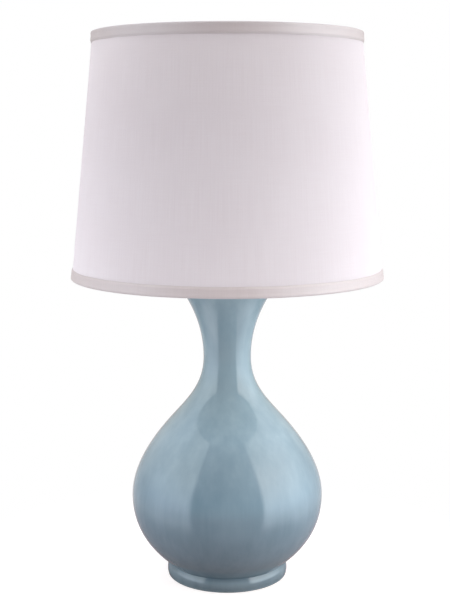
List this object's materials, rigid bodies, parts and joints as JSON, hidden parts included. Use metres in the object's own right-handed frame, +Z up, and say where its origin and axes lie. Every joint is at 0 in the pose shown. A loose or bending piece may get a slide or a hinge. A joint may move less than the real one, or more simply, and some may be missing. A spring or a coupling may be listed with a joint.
{
  "type": "table lamp with shade",
  "caption": "Glazed ceramic bottle-shaped table lamp with flared neck and foot ring, carrying a tapered fabric drum shade on a harp and spider.",
  "frame": {"origin": "centre of the felt's underside, on the surface that the lamp stands on", "axes": "+Z up along the lamp's axis; -Y is the front, with the switch key; the cord inlet is at +Y; the harp lies in XZ"},
  "size_m": [0.3559, 0.356, 0.6311],
  "materials": {
    "glaze": "glossy blue-grey glaze, thinner and paler at edges",
    "felt": "dark green-grey felt",
    "rubber": "moulded black rubber",
    "zinc_steel": "zinc-plated steel",
    "nickel": "satin nickel plate",
    "fish_paper": "brown vulcanised fibre",
    "phenolic": "moulded black phenolic",
    "brass": "bright brass",
    "thin_aluminium": "rolled aluminium",
    "diffuser": "opal polycarbonate, satin",
    "white_plastic": "moulded white plastic",
    "board": "white solder mask on aluminium",
    "phosphor": "yellow phosphor resin",
    "white_enamel": "white powder coat",
    "styrene": "translucent white styrene",
    "shade_cloth": "fine white slub weave",
    "trim_tape": "white fold-over tape"
  },
  "bodies": {
    "base": {"ceramic_foot": "glaze", "ceramic_belly": "glaze", "ceramic_shoulder": "glaze", "ceramic_neck": "glaze", "felt_pad": "felt", "cord_bushing": "rubber", "lamp_pipe": "zinc_steel", "bottom_washer": "zinc_steel", "lock_washer": "zinc_steel", "bottom_nut": "zinc_steel", "vase_cap": "nickel", "check_ring": "nickel", "neck_spacer": "nickel", "harp_saddle": "nickel", "saddle_nut": "zinc_steel", "socket_cap": "nickel", "socket_set_screw": "nickel", "socket_shell": "nickel", "insulating_sleeve": "fish_paper", "switch_body": "phenolic", "terminal_screws": "brass", "screw_shell": "thin_aluminium", "center_contact": "brass"},
    "switch_key": {"switch_shaft": "brass", "switch_knob": "phenolic"},
    "bulb": {"bulb_globe": "diffuser", "bulb_housing": "white_plastic", "bulb_base": "thin_aluminium", "bulb_insulator": "phenolic", "bulb_tip": "brass", "led_board": "board", "leds": "phosphor"},
    "harp": {"harp_wire": "nickel"},
    "sleeve_left": {"harp_sleeve_left": "nickel"},
    "sleeve_right": {"harp_sleeve_right": "nickel"},
    "swivel_stud": {"shade_seat": "nickel"},
    "shade": {"spider_hub": "white_enamel", "spider_arms": "white_enamel", "top_ring": "white_enamel", "bottom_ring": "white_enamel", "shade_liner": "styrene", "shade_fabric": "shade_cloth", "trim_top": "trim_tape", "trim_bottom": "trim_tape"},
    "finial": {"finial": "nickel"}
  },
  "joints": [
    {"name": "switch_turn", "type": "hinge", "parent": "base", "child": "switch_key", "pos_m": [0, -0.01665, 0.3982], "axis": [0, -1, 0], "continuous": true},
    {"name": "bulb_unscrew", "type": "slide", "parent": "base", "child": "bulb", "axis": [0, 0, 1], "range_m": [0, 0.035]},
    {"name": "harp_lift", "type": "slide", "parent": "base", "child": "harp", "axis": [0, 0, 1], "range_m": [0, 0.15]},
    {"name": "sleeve_left_slide", "type": "slide", "parent": "harp", "child": "sleeve_left", "axis": [0, 0, 1], "range_m": [0, 0.012]},
    {"name": "sleeve_right_slide", "type": "slide", "parent": "harp", "child": "sleeve_right", "axis": [0, 0, 1], "range_m": [0, 0.012]},
    {"name": "shade_swivel", "type": "hinge", "parent": "harp", "child": "swivel_stud", "pos_m": [0, 0, 0.6054], "axis": [0, 0, 1], "continuous": true},
    {"name": "shade_lift", "type": "slide", "parent": "swivel_stud", "child": "shade", "axis": [0, 0, 1], "range_m": [0, 0.27]},
    {"name": "finial_unscrew", "type": "slide", "parent": "shade", "child": "finial", "axis": [0, 0, 1], "range_m": [0, 0.012]}
  ]
}
